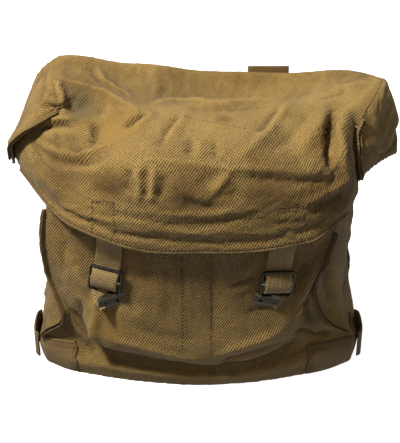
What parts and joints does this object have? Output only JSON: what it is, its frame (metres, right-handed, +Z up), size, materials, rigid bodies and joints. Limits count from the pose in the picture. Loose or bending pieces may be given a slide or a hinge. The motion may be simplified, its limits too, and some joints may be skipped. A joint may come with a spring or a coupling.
{
  "type": "canvas pack sack",
  "caption": "Boxy canvas sack with a boxed lid, two webbing strap-and-buckle closures, corner strap loops and rear shoulder buckles.",
  "frame": {"origin": "on the base's underside, midway left to right and front to back of the whole object", "axes": "+X to the right across the front, +Y to the back, +Z up; the front with the buckles faces -Y"},
  "size_m": [0.358, 0.169, 0.273],
  "materials": {
    "canvas": "worn khaki cotton canvas, coarse diagonal twill",
    "canvas_double": "doubled and stitched canvas",
    "binding": "bound seam ridge, frayed along its edge",
    "webbing": "woven cotton webbing, lighter than the canvas",
    "brass": "dark tarnished brass, bright where rubbed"
  },
  "bodies": {
    "sack": {"base_panel": "canvas", "front_panel": "canvas", "back_panel": "canvas", "left_gusset": "canvas", "right_gusset": "canvas", "mouth_hem": "canvas_double", "centre_band": "canvas_double", "front_left_seam": "binding", "front_right_seam": "binding", "back_left_seam": "binding", "back_right_seam": "binding", "left_corner_band": "webbing", "right_corner_band": "webbing", "left_strap_loop": "webbing", "right_strap_loop": "webbing", "left_chape": "webbing", "right_chape": "webbing", "left_tab_anchor": "webbing", "right_tab_anchor": "webbing"},
    "lid": {"lid_top": "canvas", "lid_front": "canvas", "lid_left_side": "canvas", "lid_right_side": "canvas", "lid_hem": "canvas_double", "lid_left_seam": "binding", "lid_right_seam": "binding", "left_strap_anchor": "webbing", "right_strap_anchor": "webbing"},
    "left_strap": {"left_strap_web": "webbing", "left_strap_tip": "brass"},
    "right_strap": {"right_strap_web": "webbing", "right_strap_tip": "brass"},
    "left_buckle": {"left_buckle_frame": "brass"},
    "right_buckle": {"right_buckle_frame": "brass"},
    "left_tab": {"left_shoulder_tab": "webbing"},
    "right_tab": {"right_shoulder_tab": "webbing"},
    "left_shoulder_buckle": {"left_shoulder_frame": "brass"},
    "right_shoulder_buckle": {"right_shoulder_frame": "brass"},
    "left_weather": {"left_weather_flap": "canvas_double"},
    "right_weather": {"right_weather_flap": "canvas_double"}
  },
  "joints": [
    {"name": "lid_hinge", "type": "hinge", "parent": "sack", "child": "lid", "pos_m": [0, 0.074, 0.265], "axis": [-1, 0, 0], "range_deg": [0, 180]},
    {"name": "left_strap_swing", "type": "hinge", "parent": "lid", "child": "left_strap", "pos_m": [-0.08326, -0.06998, 0.15568], "axis": [-0.9617, 0.2362, 0.1392], "range_deg": [0, 90]},
    {"name": "right_strap_swing", "type": "hinge", "parent": "lid", "child": "right_strap", "pos_m": [0.07497, -0.07179, 0.15382], "axis": [-0.9755, -0.1936, 0.1045], "range_deg": [0, 90]},
    {"name": "left_buckle_tilt", "type": "hinge", "parent": "sack", "child": "left_buckle", "pos_m": [-0.08819, -0.07083, 0.123], "axis": [-0.9617, 0.2362, 0.1392], "range_deg": [-5, 5]},
    {"name": "right_buckle_tilt", "type": "hinge", "parent": "sack", "child": "right_buckle", "pos_m": [0.07197, -0.07443, 0.121], "axis": [-0.9755, -0.1936, 0.1045], "range_deg": [-5, 5]},
    {"name": "left_tab_swing", "type": "hinge", "parent": "sack", "child": "left_tab", "pos_m": [-0.066, 0.0767, 0.242], "axis": [1, 0, 0], "range_deg": [0, 90]},
    {"name": "right_tab_swing", "type": "hinge", "parent": "sack", "child": "right_tab", "pos_m": [0.066, 0.0767, 0.242], "axis": [1, 0, 0], "range_deg": [0, 90]},
    {"name": "left_shoulder_buckle_tilt", "type": "hinge", "parent": "left_tab", "child": "left_shoulder_buckle", "pos_m": [-0.066, 0.081, 0.216], "axis": [-1, 0, 0], "range_deg": [-4, 16]},
    {"name": "right_shoulder_buckle_tilt", "type": "hinge", "parent": "right_tab", "child": "right_shoulder_buckle", "pos_m": [0.066, 0.081, 0.216], "axis": [-1, 0, 0], "range_deg": [-4, 16]},
    {"name": "left_weather_flap_fold", "type": "hinge", "parent": "sack", "child": "left_weather", "pos_m": [-0.152, 0.014, 0.231], "axis": [0, -1, 0], "range_deg": [0, 85]},
    {"name": "right_weather_flap_fold", "type": "hinge", "parent": "sack", "child": "right_weather", "pos_m": [0.152, 0.014, 0.231], "axis": [0, 1, 0], "range_deg": [0, 85]}
  ]
}
